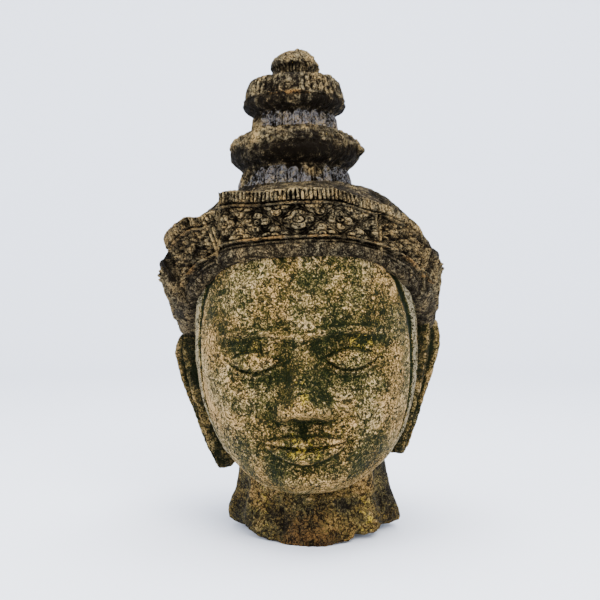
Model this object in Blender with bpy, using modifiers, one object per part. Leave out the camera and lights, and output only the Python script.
"""Bust of a crowned deity, cast in bronze: a head with a broken-off neck, long ears, a panelled
diadem and a stepped crown. The whole bust is one casting, so it is one object.

Run it with blender --background --python part.py, or from the text editor. Metres, +Z up. The face
looks along -Y and the bust stands on the flat of its broken neck, centred on the origin."""

import math

import bmesh
import bpy
import numpy as np
from mathutils import Matrix

# Neck, from the flat that the bust stands on
NECK_RADIUS = 0.0448
NECK_HEIGHT = 0.031
NECK_FLARE = 0.0048
NECK_BREAK_RISE = 0.0065
NECKLACE_WIDTH = 0.0035

# Head
HEAD_WIDTH = 0.136
HEAD_FRONT_DEPTH = 0.0735
HEAD_BACK_DEPTH = 0.078
FACE_HEIGHT = 0.135
BORDER_RELIEF = 0.0013
LEAN = math.radians(2.2)

# Ears
EAR_LENGTH = 0.088
EAR_WIDTH = 0.034
EAR_THICKNESS = 0.009
EAR_WEB = 0.011
EAR_SPREAD = math.radians(20)
EAR_LIFTS = {-1: 0.000, 1: 0.006}
EAR_OFFSETS = {-1: 0.0072, 1: 0.0050}

# Diadem
DIADEM_HEIGHT = 0.0373
DIADEM_WALL = 0.0120
DIADEM_SLOPE = 0.047
DIADEM_STANDOFF = 0.0022
DIADEM_SPREAD = 0.0060
DIADEM_STEP = 0.0035
WORN_FLARES = {"side": 0.0140, "temple": 0.0070}
FRONT_DENTILS = 36
SIDE_DENTILS = 21
FLOWERS = 5
FLOWER_RELIEF = 0.0022
LEAVES = 9

# Crown tiers, whose heights stack up from the diadem
CROWN_RISE = 0.0087
CROWN_LEAN = math.radians(1.3)
CROWN_SHIFT = -0.0041
LOWER_WAIST_RADIUS = 0.0365
LOWER_WAIST_HEIGHT = 0.012
LOWER_TIER_RADIUS = 0.0415
LOWER_TIER_HEIGHT = 0.0238
UPPER_WAIST_RADIUS = 0.0280
UPPER_WAIST_HEIGHT = 0.0112
UPPER_TIER_RADIUS = 0.0325
UPPER_TIER_HEIGHT = 0.020
FINIAL_RADIUS = 0.0150
DRUM_HEIGHT = 0.0092
CAP_HEIGHT = 0.0118
TIER_DENTILS = 48
RIM_STEP = 0.0043
PETALS = 36
FLUTE_DEPTH = 0.0016

# The share of their faces that the parts keep, and then the casting, so that it stays light
KEPT_CASTING = 0.89
KEPT_HEAD = 0.14
KEPT_NECK = 0.15
KEPT_CROWN = 0.17
KEPT_EAR = 0.13
KEPT_PANELS = {"front": 0.09, "side": 0.12, "temple": 0.12, "back": 0.15}

# Heights that follow from the sizes above
CHIN_Z = NECK_HEIGHT
HAIRLINE_Z = CHIN_Z + FACE_HEIGHT
BROW_Z = CHIN_Z + FACE_HEIGHT * 2 / 3
NOSE_BASE_Z = CHIN_Z + FACE_HEIGHT / 3
MOUTH_Z = CHIN_Z + FACE_HEIGHT * 2 / 9
DIADEM_TOP_Z = HAIRLINE_Z + DIADEM_HEIGHT
CROWN_Z = DIADEM_TOP_Z + CROWN_RISE
EYE_SPACING = HEAD_WIDTH / 5
HEAD_MIDDLE_Z = CHIN_Z + FACE_HEIGHT * 0.65
HEAD_HALF_HEIGHT = FACE_HEIGHT * 0.665


def smooth(low, high, value):
    """0 below low, 1 above high, and an S-shaped rise between them."""
    t = np.clip((value - low) / (high - low), 0, 1)
    return t * t * (3 - 2 * t)


def hill(x, z, at_x, at_z, width, height):
    """A round hill of height 1, that has fallen to a third at width and height from its middle."""
    return np.exp(-(((x - at_x) / width) ** 2) - ((z - at_z) / height) ** 2)


def signed_power(value, power):
    return np.sign(value) * np.abs(value) ** power


def ribs(angle, count, roundness=0.6):
    """Rounded ribs parted by narrow grooves: 1 on a rib and 0 in a groove, count of them in a turn."""
    return np.abs(np.sin(angle * count / 2)) ** roundness


def new_object(name, mesh, parent):
    made = bpy.data.objects.new(name, mesh)
    bpy.context.scene.collection.objects.link(made)
    made.parent = parent
    return made


def reshape(mesh, place):
    """Moves every vertex of the mesh to where place says, and turns its faces outwards."""
    points = np.empty(len(mesh.vertices) * 3, np.float32)
    mesh.vertices.foreach_get("co", points)
    moved = place(points.reshape(-1, 3).astype(float))
    mesh.vertices.foreach_set("co", moved.astype(np.float32).ravel())
    bm = bmesh.new()
    bm.from_mesh(mesh)
    bmesh.ops.recalc_face_normals(bm, faces=bm.faces)
    bm.to_mesh(mesh)
    bm.free()


def ball(name, segments, rings, parent, place):
    """A unit sphere whose vertices place moves."""
    mesh = bpy.data.meshes.new(name)
    bm = bmesh.new()
    bmesh.ops.create_uvsphere(bm, u_segments=segments, v_segments=rings, radius=1)
    bm.to_mesh(mesh)
    bm.free()
    reshape(mesh, place)
    return new_object(name, mesh, parent)


def evaluated_mesh(helper):
    """The mesh of an object with its modifiers applied. The object is removed."""
    bpy.context.view_layer.update()
    graph = bpy.context.evaluated_depsgraph_get()
    mesh = bpy.data.meshes.new_from_object(helper.evaluated_get(graph))
    bpy.data.objects.remove(helper)
    return mesh


def turned(name, profile, steps, parent, place):
    """A profile of (radius, height) points, from top to bottom, turned about Z and moved by place."""
    line = bpy.data.meshes.new(name)
    line.from_pydata([(r, 0, z) for r, z in profile], [(i, i + 1) for i in range(len(profile) - 1)], [])
    helper = new_object(name, line, None)
    screw = helper.modifiers.new("Turn", "SCREW")
    screw.steps = screw.render_steps = steps
    screw.use_merge_vertices = True
    screw.merge_threshold = 0.00002
    mesh = evaluated_mesh(helper)
    reshape(mesh, place)
    return new_object(name, mesh, parent)


def slab(name, columns, rows, parent, place):
    """A block of unit size, one face of which has columns by rows faces, moved by place.
    place gets the share of the width, the share of the height and the share of the depth."""
    mesh = bpy.data.meshes.new(name)
    bm = bmesh.new()
    bmesh.ops.create_grid(bm, x_segments=columns, y_segments=rows, size=0.5)
    bm.to_mesh(mesh)
    bm.free()
    helper = new_object(name, mesh, None)
    depth = helper.modifiers.new("Depth", "SOLIDIFY")
    depth.thickness = 1
    depth.offset = -1
    mesh = evaluated_mesh(helper)
    reshape(mesh, lambda points: place(points + (0.5, 0.5, 1)))
    return new_object(name, mesh, parent)


def nose(x, z):
    """Height of the nose over the face."""
    tip_z = NOSE_BASE_Z + 0.0068
    along = np.clip((BROW_Z - 0.004 - z) / (BROW_Z - 0.004 - tip_z), 0, 1)
    ridge = 0.0022 + 0.0125 * along**1.1
    half_width = 0.0060 + 0.0040 * along
    body = ridge * np.exp(-(np.abs(x / half_width) ** 2.3)) * smooth(BROW_Z + 0.010, BROW_Z - 0.006, z)
    tip = 0.0022 * hill(x, z, 0, tip_z, 0.0072, 0.0058)
    underside = smooth(NOSE_BASE_Z - 0.0020, NOSE_BASE_Z + 0.0056, z) ** 0.8
    wings = 0.0080 * hill(np.abs(x), z, 0.0108, NOSE_BASE_Z + 0.0046, 0.0052, 0.0054)
    return (body + tip) * underside + wings * smooth(NOSE_BASE_Z - 0.0022, NOSE_BASE_Z + 0.0012, z)


def eyes(x, z):
    """Sockets, lowered lids, the line where they meet and the fold above them."""
    side, eye_z = np.abs(x), BROW_Z - 0.0135
    from_middle = side - EYE_SPACING
    within = np.exp(-((np.abs(from_middle) / (EYE_SPACING * 0.52)) ** 6))
    socket = -0.0072 * hill(side, z, EYE_SPACING - 0.002, eye_z + 0.001, 0.0185, 0.0125)
    lid = 0.0068 * np.exp(-((from_middle / 0.0125) ** 2 + ((z - eye_z) / 0.0078) ** 2) ** 1.4)
    meeting_z = eye_z - 0.0042 + 26 * from_middle**2
    overhang = 0.0011 * within * (smooth(meeting_z - 0.0007, meeting_z + 0.0007, z) - 0.5)
    fold_z = eye_z + 0.0072 - 24 * from_middle**2
    fold = -0.0010 * within * np.exp(-(((z - fold_z) / 0.0011) ** 2))
    return socket + lid + overhang + fold


def brows(x, z):
    """Arched ridges that spring from the root of the nose."""
    side = np.abs(x)
    arch_z = BROW_Z + 0.0042 * np.sin(np.pi * np.clip(side / (EYE_SPACING * 1.9), 0, 1))
    across = np.exp(-(((z - arch_z) / 0.0026) ** 2))
    return 0.0021 * across * smooth(EYE_SPACING * 1.9, EYE_SPACING * 1.35, side)


def lips(x, z):
    """Closed lips with a faint lift at their corners, the groove above and the hollow below them."""
    side = np.abs(x) / (EYE_SPACING * 0.86)
    inside = np.clip(1 - side**2, 0, 1)
    line_z = MOUTH_Z + 0.0021 * side**2 - 0.0007 * np.exp(-((x / 0.004) ** 2))
    upper = 0.0064 * inside**0.75 * (1 - 0.14 * np.exp(-((x / 0.0032) ** 2))) + 1e-6
    lower = 0.0080 * inside**0.85 + 1e-6
    rise = np.where(z > line_z, (z - line_z) / upper, (line_z - z) / lower)
    full = np.sin(np.pi * np.clip(rise * 0.86 + 0.10, 0, 1)) ** 0.6
    lip = np.where(z > line_z, 0.0030, 0.0036) * full * (inside > 0) * inside**0.35
    mouth = 0.0030 * hill(x, z, 0, MOUTH_Z, 0.027, 0.017)
    corners = -0.0020 * hill(np.abs(x), z, EYE_SPACING * 0.9, MOUTH_Z + 0.0022, 0.0034, 0.0034)
    groove = -0.0013 * hill(x, z, 0, MOUTH_Z + 0.0100, 0.0026, 0.0042)
    hollow = -0.0036 * hill(x, z, 0, MOUTH_Z - 0.0118, 0.0140, 0.0040)
    return lip + mouth + corners + groove + hollow


def face_relief(x, z):
    """How far the face stands forward of the plain head, at each place seen from the front."""
    jaw = 0.0160 * smooth(NOSE_BASE_Z + 0.003, CHIN_Z + 0.005, z) * np.exp(-((np.abs(x) / 0.037) ** 3))
    chin = 0.0050 * hill(x, z, 0, CHIN_Z + 0.0100, 0.017, 0.011)
    cheeks = 0.0034 * hill(np.abs(x), z, 0.037, NOSE_BASE_Z + 0.010, 0.018, 0.020)
    return nose(x, z) + eyes(x, z) + brows(x, z) + lips(x, z) + jaw + chin + cheeks


def face_border(x, z):
    """A groove round the face and a raised strip outside it, which die out towards the chin."""
    half_height = FACE_HEIGHT * 0.56
    middle = CHIN_Z + FACE_HEIGHT * 0.53
    oval = (np.abs(x) / (HEAD_WIDTH * 0.464)) ** 2.6 + (np.abs(z - middle) / half_height) ** 2.6
    outside = (oval ** (1 / 2.6) - 1) * HEAD_WIDTH * 0.464
    groove = -BORDER_RELIEF * np.exp(-((outside / 0.0022) ** 2))
    strip = BORDER_RELIEF * smooth(0.0008, 0.0040, outside) * smooth(0.0120, 0.0080, outside)
    return (groove + strip) * smooth(0.014, 0.034, np.abs(x))


def head_section(azimuth, level):
    """Half width, half depth and height of the head in one direction, at a level from -1 to 1. The
    head is full at the temples, narrower at the jaw, and upright in front."""
    turn = np.cos(azimuth)
    ring = np.sqrt(np.clip(1 - level**2, 0, 1))
    wide = HEAD_WIDTH / 2 * ring ** np.where(level > 0, 0.5, 0.66)
    upright = (1 - np.clip(np.abs(level), 0, 1) ** 3.4) ** 0.294
    deep = np.where(turn > 0, HEAD_FRONT_DEPTH * upright, HEAD_BACK_DEPTH * ring**0.6)
    return wide, deep, HEAD_MIDDLE_Z + HEAD_HALF_HEIGHT * level


def head_ring(azimuth, wide, deep):
    """A place on a rounded oblong ring about the head."""
    square = 0.80 + 0.15 * smooth(0.2, -0.2, np.cos(azimuth))
    return wide * signed_power(np.sin(azimuth), square), -deep * signed_power(np.cos(azimuth), square)


def head_point(points):
    """The head, from a unit sphere, with the face in front."""
    azimuth = np.arctan2(points[:, 0], -points[:, 1])
    azimuth -= 0.42 * np.sin(azimuth)
    wide, deep, z = head_section(azimuth, np.clip(points[:, 2], -1, 1))
    x, y = head_ring(azimuth, wide, deep)
    front = smooth(0.15, 0.55, np.cos(azimuth))
    y -= face_relief(x, z) * front
    border = face_border(x, z) * smooth(-0.25, 0.1, np.cos(azimuth))
    x += border * np.sin(azimuth)
    y -= border * np.cos(azimuth)
    return np.stack([x, y, z], axis=1)


def break_height(azimuth):
    """How high the broken edge of the neck stands over the flat, which it meets at the front."""
    rise = NECK_BREAK_RISE * smooth(0.15, 1.15, np.abs(azimuth))
    notch = 0.0032 * np.exp(-(((azimuth - 0.62) / 0.09) ** 2))
    ragged = 0.0008 * np.sin(azimuth * 11 + 0.5) + 0.0006 * np.sin(azimuth * 19 + 2)
    return np.maximum(rise + notch + ragged * smooth(0.2, 0.6, np.abs(azimuth)), 0)


def neck_folds(azimuth, z):
    """The necklace line at the front, and the upright folds that frame the neck at its sides."""
    front = smooth(1.25, 0.95, np.abs(azimuth))
    line_z = CHIN_Z - NECKLACE_WIDTH * 1.4
    necklace = 0.0013 * np.exp(-(((z - line_z) / (NECKLACE_WIDTH * 0.5)) ** 4)) * front
    low = smooth(CHIN_Z + 0.022, CHIN_Z - 0.012, z)
    fold = 0.0042 * np.exp(-(((np.abs(azimuth) - 1.42) / 0.15) ** 2)) * low
    hollow = -0.0026 * np.exp(-(((np.abs(azimuth) - 1.08) / 0.13) ** 2)) * low
    waves = 0.0009 * np.cos(azimuth * 7) * low * front
    return necklace + fold + hollow + waves


def neck_point(points):
    """The neck, from a turned block whose rows below the break are drawn in under the foot."""
    azimuth = np.arctan2(points[:, 0], -points[:, 1])
    radius = np.hypot(points[:, 0], points[:, 1])
    z = points[:, 2].copy()
    wall = z > 0.0001
    edge = break_height(azimuth)
    share = z / CHIN_Z
    z = np.where(wall & (share < 1), edge + (CHIN_Z - edge) * np.maximum(share, 0), z)
    flare = NECK_FLARE * smooth(0.9, 0.0, share)
    out = np.where(wall, flare + neck_folds(azimuth, z), NECK_FLARE * radius / NECK_RADIUS * 0.6)
    scale = (radius + out * (radius > 0.001)) / np.maximum(radius, 1e-9)
    return np.stack([points[:, 0] * scale, points[:, 1] * scale, z], axis=1)


def neck_profile():
    """From inside the head down to the break, then under the foot to the axis."""
    wall = [(NECK_RADIUS, CHIN_Z * share) for share in (1.9, 1.4, 1.1, 0.95, 0.88, 0.8, 0.7, 0.55, 0.4, 0.25, 0.12, 0.02)]
    under = [(NECK_RADIUS * 0.94, -0.0015), (NECK_RADIUS * 0.6, -0.006)]
    return [(0, wall[0][1]), *wall, *under, (0, -0.006)]


def ear_relief(across, along):
    """How far the ear's face stands over its plate. across runs from -1 at the head to 1 at the
    free rim, and along from -1 at the lobe's tip to 1 at the top."""
    rim = np.exp(-(((np.abs(across) - 0.80) / 0.17) ** 2)) * smooth(-1.1, -0.5, along)
    shell = -np.exp(-((across / 0.5) ** 2) - ((along - 0.46) / 0.30) ** 2)
    slot = -0.75 * np.exp(-((across / 0.28) ** 4)) * smooth(-0.92, -0.72, along) * smooth(-0.02, -0.22, along)
    ridge = 0.8 * np.exp(-(((across + 0.1 + 0.7 * (along - 0.55)) / 0.14) ** 2)) * smooth(0.25, 0.5, along)
    return 0.0028 * (rim + 1.2 * shell + slot + ridge * smooth(0.95, 0.75, along))


def ear_place(points, side):
    """An ear, from a unit sphere flattened along X: a plate with a curled rim, a hollow shell and a
    long slotted lobe. It stands off the head towards the back, and drops a little inwards."""
    along, across = points[:, 2], points[:, 1]
    taper = 0.58 + 0.42 * smooth(-0.35, 0.55, along)
    half_width = EAR_WIDTH / 2 * taper
    run = signed_power(across, 0.8) * half_width
    flat = np.sqrt(np.clip(1 - across**2 - along**2, 0, 1))
    face = points[:, 0] > 0
    relief = ear_relief(across / np.sqrt(np.clip(1 - along**2, 0.02, 1)), along)
    thick = EAR_THICKNESS / 2 * flat**0.45
    web = EAR_WEB * flat**0.7
    off = np.where(face, thick + relief * smooth(0.0, 0.35, flat), -thick - web)
    curl = 0.003 * smooth(0.2, 1.0, across) * smooth(0.0, 0.8, along)
    out = run * math.sin(EAR_SPREAD) + (off + curl) * math.cos(EAR_SPREAD)
    back = run * math.cos(EAR_SPREAD) - (off + curl) * math.sin(EAR_SPREAD)
    top_z = NOSE_BASE_Z + EAR_LENGTH * 0.56 + EAR_LIFTS[side]
    z = top_z + EAR_LENGTH / 2 * (signed_power(along, 0.9) - 1)
    narrowing = 0.0175 * smooth(top_z - 0.01, top_z - EAR_LENGTH, z)
    x = side * (HEAD_WIDTH / 2 + EAR_OFFSETS[side] + out - narrowing)
    y = 0.002 + back - narrowing * 0.2
    return np.stack([x, y, z], axis=1)


class Panel:
    """One stretch of the diadem: where it starts and ends, how far it stands back, the half width
    and half depth of the ring at its top, the heights of its top at both ends over the diadem's
    top, how fast it flares, and how finely it is cut."""

    def __init__(self, name, start, end, back, top, top_z, flare, dentils, grid):
        self.name, self.start, self.end, self.back = name, math.radians(start), math.radians(end), back
        self.top, self.top_z, self.flare = top, top_z, flare
        self.dentils, self.grid = dentils, grid


TOP_RING = (HEAD_WIDTH / 2 + 0.0050, HEAD_FRONT_DEPTH + 0.0015)
SIDE_RING = (TOP_RING[0] + 0.0170, TOP_RING[1] + 0.0030)
TEMPLE_RING = (TOP_RING[0] + 0.0240, TOP_RING[1] + 0.0040)
BACK_RING = (TOP_RING[0] + 0.0060, HEAD_BACK_DEPTH + 0.0060)
PANELS = (
    Panel("front", -36, 36, 0, TOP_RING, (0.0, -0.0015), 1.0, FRONT_DENTILS, (108, 30)),
    Panel("side", 33, 75, DIADEM_STEP, SIDE_RING, (-0.005, -0.0195), 1.0, SIDE_DENTILS, (63, 25)),
    Panel("temple", 68, 120, DIADEM_STEP, TEMPLE_RING, (-0.033, -0.041), 0.6, 0, (45, 16)),
    Panel("back", 108, 252, DIADEM_STEP, BACK_RING, (-0.043, -0.043), 1.0, 0, (36, 14)),
)


def band_bottom(azimuth):
    """The lower edge of the diadem: highest over the forehead and lowest behind the ears."""
    turn = np.cos(azimuth)
    return HAIRLINE_Z - DIADEM_SLOPE * np.clip(1 - turn, 0, 1) ** 1.4 - 0.010 * np.clip(-turn, 0, 1)


def band_foot(azimuth, outward):
    """A place on the diadem's lower edge, which follows the head and stands a little off it."""
    stand = DIADEM_STANDOFF + DIADEM_SPREAD * np.sin(azimuth) ** 2 + outward
    bottom_z = band_bottom(azimuth)
    wide, deep, _ = head_section(azimuth, (bottom_z - HEAD_MIDDLE_Z) / HEAD_HALF_HEIGHT)
    return (*head_ring(azimuth, wide + stand, deep + stand), bottom_z)


def band_section(v):
    """The mouldings that all panels share, from a roll at the hairline to the rim at the top."""
    roll = 0.0022 * np.sin(np.pi * np.clip(v / 0.26, 0, 1)) ** 0.8
    lower_fillet = 0.0014 * np.exp(-(((v - 0.30) / 0.022) ** 4))
    upper_fillet = 0.0014 * np.exp(-(((v - 0.80) / 0.020) ** 4))
    rim = 0.0012 * smooth(0.80, 0.84, v)
    return roll + lower_fillet + upper_fillet + rim


def flower_band(across, v):
    """Lozenges that hold four-petalled flowers. across counts lozenges and v runs over the panel."""
    x = (across - np.floor(across) - 0.5) * 2
    y = (v - 0.55) / 0.215
    inside = np.abs(y) < 1.05
    edge = np.abs(np.abs(x) + np.abs(y) - 1)
    frame = np.exp(-((edge / 0.11) ** 2))
    reach = np.hypot(x, y)
    turn = np.arctan2(y, x)
    petals = smooth(0.62, 0.50, reach) * np.abs(np.cos(2 * turn)) ** 0.5 * smooth(0.16, 0.26, reach)
    heart = smooth(0.16, 0.10, reach)
    corner = hill(1 - np.abs(x), np.abs(y), 0.06, 0.86, 0.24, 0.24)
    return FLOWER_RELIEF * inside * np.maximum.reduce([frame * 0.7, petals, heart, corner * 0.9])


def leaf_band(share, v):
    """Upright leaves side by side."""
    return FLOWER_RELIEF * smooth(0.34, 0.42, v) * smooth(0.78, 0.70, v) * ribs(share * 2 * np.pi, LEAVES)


def dentil_band(share, v, dentils):
    """A row of small upright blocks under the rim."""
    row = smooth(0.835, 0.85, v) * smooth(0.975, 0.96, v)
    return -FLUTE_DEPTH * row * (1 - ribs(share * 2 * np.pi, dentils))


def sunk_step(azimuth):
    """How far the diadem's rim lies lower just beside the front panel, on the bust's right."""
    turned_by = np.degrees(-azimuth)
    return RIM_STEP * smooth(31, 33, turned_by) * smooth(50, 38, turned_by)


def panel_place(panel, side):
    """The function that moves a unit block to the panel, on the left side or on the right."""

    def place(points):
        u, v, w = points[:, 0], points[:, 1], points[:, 2]
        azimuth = panel.start + (panel.end - panel.start) * u
        along = np.abs(azimuth) / panel.end if panel.name == "front" else u
        top_z = DIADEM_TOP_Z + panel.top_z[0] + (panel.top_z[1] - panel.top_z[0]) * along
        if panel.name == "front":
            top_z = top_z - 0.0062 * smooth(0.70, 1.0, u) + 0.0030 * smooth(0.30, 0.06, u)
        if panel.name == "side":
            top_z = top_z - sunk_step(side * azimuth)
        flowers = FLOWERS * u * (panel.end - panel.start) / (PANELS[0].end - PANELS[0].start)
        relief = band_section(v)
        if panel.name in ("front", "side"):
            relief += flower_band(flowers, v)
        if panel.name == "temple":
            relief += leaf_band(u, v)
        if panel.dentils:
            relief += dentil_band(u, v, panel.dentils)
        outward = relief * w - DIADEM_WALL * (1 - w) - panel.back
        flare = v**panel.flare
        worn = WORN_FLARES.get(panel.name, 0) * flare * (side > 0)
        low_x, low_y, bottom_z = band_foot(azimuth, outward)
        high_x = (panel.top[0] - worn + outward) * np.sin(azimuth)
        high_y = -(panel.top[1] - worn + outward) * np.cos(azimuth)
        x = low_x + (high_x - low_x) * flare
        y = low_y + (high_y - low_y) * flare
        return np.stack([side * x, y, bottom_z + (top_z - bottom_z) * v], axis=1)

    return place


def roof_point(points):
    """The filled top of the diadem: it climbs from just under the panels' rims to the crown."""
    azimuth = np.arctan2(points[:, 0], -points[:, 1])
    turned_by = np.degrees(np.abs(azimuth))
    spread = np.hypot(points[:, 0], points[:, 1])
    front, side, temple, back = PANELS
    stops = [0, 34, 38, 68, 76, 108, 116, 180]
    rims = [front.top, front.top, side.top, side.top, temple.top, temple.top, back.top, back.top]
    heights = [front.top_z[0], front.top_z[1], *side.top_z, *temple.top_z, *back.top_z]
    half_width = np.interp(turned_by, stops, [rim[0] for rim in rims]) - 0.006
    half_depth = np.interp(turned_by, stops, [rim[1] for rim in rims]) - 0.006
    worn = np.interp(turned_by, [34, 38, 68, 76, 108, 116], [0, WORN_FLARES["side"], WORN_FLARES["side"],
                                                             WORN_FLARES["temple"], WORN_FLARES["temple"], 0])
    half_width -= worn * (points[:, 0] > 0)
    half_depth -= worn * (points[:, 0] > 0)
    rim_z = DIADEM_TOP_Z - 0.0035 + np.interp(turned_by, stops, heights) - 1.1 * sunk_step(azimuth)
    outer = np.clip((spread - 0.5) / 0.5, 0, 1)
    share = np.where(spread > 0.5, outer, 0)
    low_corner = smooth(31, 36, turned_by) * smooth(80, 62, turned_by) * (azimuth < 0)
    top_z = CROWN_Z + 0.001 + (rim_z - CROWN_Z) * outer ** (1.3 - 0.85 * low_corner)
    top_x = np.sin(azimuth) * (LOWER_WAIST_RADIUS * 0.9 * (1 - share) + half_width * share)
    top_y = -np.cos(azimuth) * (LOWER_WAIST_RADIUS * 0.9 * (1 - share) + half_depth * share)
    foot_x, foot_y, foot_z = band_foot(azimuth, -DIADEM_WALL / 2 - DIADEM_STEP)
    top, off_axis = points[:, 2] > 0, spread > 0.01
    x = np.where(top, top_x, foot_x) * off_axis
    y = np.where(top, top_y, foot_y) * off_axis
    return np.stack([x, y, np.where(top, top_z, np.where(off_axis, foot_z + 0.004, HAIRLINE_Z - 0.02))], axis=1)


def quarter(start, end, bulge, count):
    """Points on a rounded moulding from start to end, bowed outwards by bulge."""
    points = []
    for i in range(count + 1):
        share = i / count
        bow = bulge * math.sin(math.pi * share)
        points.append((start[0] + (end[0] - start[0]) * share + bow, start[1] + (end[1] - start[1]) * share))
    return points


def crown_bands():
    """Each carved band of the crown: lowest height, highest height, how many ribs and how deep."""
    lower_waist = (CROWN_Z, CROWN_Z + LOWER_WAIST_HEIGHT)
    lower_tier = (lower_waist[1], lower_waist[1] + LOWER_TIER_HEIGHT)
    upper_waist = (lower_tier[1], lower_tier[1] + UPPER_WAIST_HEIGHT)
    upper_tier = (upper_waist[1], upper_waist[1] + UPPER_TIER_HEIGHT)
    drum = (upper_tier[1], upper_tier[1] + DRUM_HEIGHT)
    return {
        "lower waist": (*lower_waist, PETALS),
        "lower tier": (lower_tier[0] + LOWER_TIER_HEIGHT * 0.56, lower_tier[1], TIER_DENTILS),
        "upper waist": (*upper_waist, PETALS),
        "upper tier": (upper_tier[0] + UPPER_TIER_HEIGHT * 0.42, upper_tier[1], TIER_DENTILS),
        "drum": (*drum, PETALS),
    }


def crown_profile():
    """The crown's outline from the top of the cap down to where it sinks into the diadem."""
    bands = crown_bands()
    drum_low, drum_top, _ = bands["drum"]
    tier_mid, tier_top, _ = bands["upper tier"]
    waist_low, waist_top, _ = bands["upper waist"]
    big_mid, big_top, _ = bands["lower tier"]
    foot_low, foot_top, _ = bands["lower waist"]
    drum_radius = FINIAL_RADIUS * 0.91
    cap = [
        (FINIAL_RADIUS * math.sin(angle), drum_top + CAP_HEIGHT * math.cos(angle))
        for angle in (0, 0.35, 0.7, 1.0, 1.3, math.pi / 2)
    ]
    drum = [(drum_radius, drum_top - DRUM_HEIGHT * share) for share in (0.05, 0.35, 0.65, 0.98)]
    upper = [(UPPER_TIER_RADIUS * 0.85, tier_top + 0.0008)]
    upper += quarter((UPPER_TIER_RADIUS * 0.885, tier_top), (UPPER_TIER_RADIUS * 0.97, tier_mid), 0.0004, 4)
    upper += quarter((UPPER_TIER_RADIUS * 0.955, tier_mid - 0.0005), (UPPER_WAIST_RADIUS * 0.92, waist_top), 0.0036, 5)
    waist = [(UPPER_WAIST_RADIUS * (0.93 + 0.07 * share), waist_top - UPPER_WAIST_HEIGHT * share)
             for share in (0.1, 0.4, 0.7, 0.97)]
    lower = quarter((UPPER_WAIST_RADIUS * 1.01, big_top), (LOWER_TIER_RADIUS * 0.975, big_mid), 0.0034, 5)
    lower += quarter((LOWER_TIER_RADIUS * 0.965, big_mid - 0.0006), (LOWER_WAIST_RADIUS * 0.91, foot_top), 0.0034, 5)
    foot = [(LOWER_WAIST_RADIUS * (0.92 + 0.08 * share), foot_top - LOWER_WAIST_HEIGHT * share)
            for share in (0.08, 0.4, 0.7, 1.0)]
    sunk = [(LOWER_WAIST_RADIUS * 1.20, foot_low - 0.009), (LOWER_WAIST_RADIUS, HAIRLINE_Z)]
    return [*cap, *drum, *upper, *waist, *lower, *foot, *sunk, (0, HAIRLINE_Z)]


def crown_point(points):
    """Cuts the ribs of each band into the turned crown."""
    azimuth = np.arctan2(points[:, 0], -points[:, 1])
    radius = np.hypot(points[:, 0], points[:, 1])
    z = points[:, 2]
    cut = np.zeros_like(z)
    for low, high, count in crown_bands().values():
        margin = (high - low) * 0.06
        row = (z > low - margin) & (z < high + margin * 0.5)
        cut = np.maximum(cut, row * (1 - ribs(azimuth + math.pi / count, count)))
    scale = 1 - FLUTE_DEPTH * cut * (radius > FINIAL_RADIUS * 0.85) / np.maximum(radius, 1e-6)
    return np.stack([points[:, 0] * scale, points[:, 1] * scale, z], axis=1)


def bronze():
    material = bpy.data.materials.new("aged_bronze")
    material.use_nodes = True
    shader = material.node_tree.nodes["Principled BSDF"]
    shader.inputs["Base Color"].default_value = (0.105, 0.098, 0.052, 1)
    shader.inputs["Roughness"].default_value = 0.62
    shader.inputs["Metallic"].default_value = 0.35
    return material


def lighten(part, share):
    """Keeps a share of the part's faces, most of them where it is carved."""
    part.modifiers.new("Kept faces", "DECIMATE").ratio = share
    return part


def cast(body, others, floor):
    """Joins the parts to the body and cuts the foot flat. The joined parts are hidden."""
    helpers = bpy.data.collections.new("Helpers")
    bpy.context.scene.collection.children.link(helpers)
    for other in [*others, floor]:
        if other is floor:
            lighten(body, KEPT_CASTING)
        join = body.modifiers.new(other.name, "BOOLEAN")
        join.operation = "DIFFERENCE" if other is floor else "UNION"
        join.object = other
        join.use_self = True
        other.hide_render = True
        other.display_type = "WIRE"
        bpy.context.scene.collection.objects.unlink(other)
        helpers.objects.link(other)


def main():
    for old in list(bpy.data.objects):
        bpy.data.objects.remove(old, do_unlink=True)
    lean = new_object("lean", None, None)
    lean.rotation_euler = (0, -LEAN, 0)
    crown_axis = new_object("crown_axis", None, lean)
    crown_axis.matrix_local = (
        Matrix.Translation((0, 0, DIADEM_TOP_Z)) @ Matrix.Rotation(CROWN_LEAN, 4, "Y")
        @ Matrix.Translation((CROWN_SHIFT, 0, -DIADEM_TOP_Z))
    )

    bust = lighten(ball("vishnu_bust", 112, 76, lean, head_point), KEPT_HEAD)
    neck = lighten(turned("neck", neck_profile(), 96, lean, neck_point), KEPT_NECK)
    crown = lighten(turned("crown", crown_profile(), 144, crown_axis, crown_point), KEPT_CROWN)
    roof_profile = [(0, 1), (0.5, 1), (0.62, 1), (0.75, 1), (0.88, 1), (1, 1), (1, -1), (0, -1)]
    roof = turned("roof", roof_profile, 48, lean, roof_point)
    parts = [neck, roof, crown]
    for name, side in (("right", -1), ("left", 1)):
        ear = ball(f"ear_{name}", 40, 32, lean, lambda points, side=side: ear_place(points, side))
        parts.append(lighten(ear, KEPT_EAR))
    for panel in PANELS:
        for side in (1,) if panel.name in ("front", "back") else (1, -1):
            name = f"{panel.name}_{'left' if side > 0 else 'right'}"
            block = slab(name, *panel.grid, lean, panel_place(panel, side))
            parts.append(lighten(block, KEPT_PANELS[panel.name]))

    size = 4 * HEAD_WIDTH
    mesh = bpy.data.meshes.new("floor")
    bm = bmesh.new()
    bmesh.ops.create_cube(bm, size=size)
    bm.to_mesh(mesh)
    bm.free()
    floor = new_object("floor", mesh, None)
    floor.location.z = -size / 2

    cast(bust, parts, floor)
    bust.data.materials.append(bronze())


main()
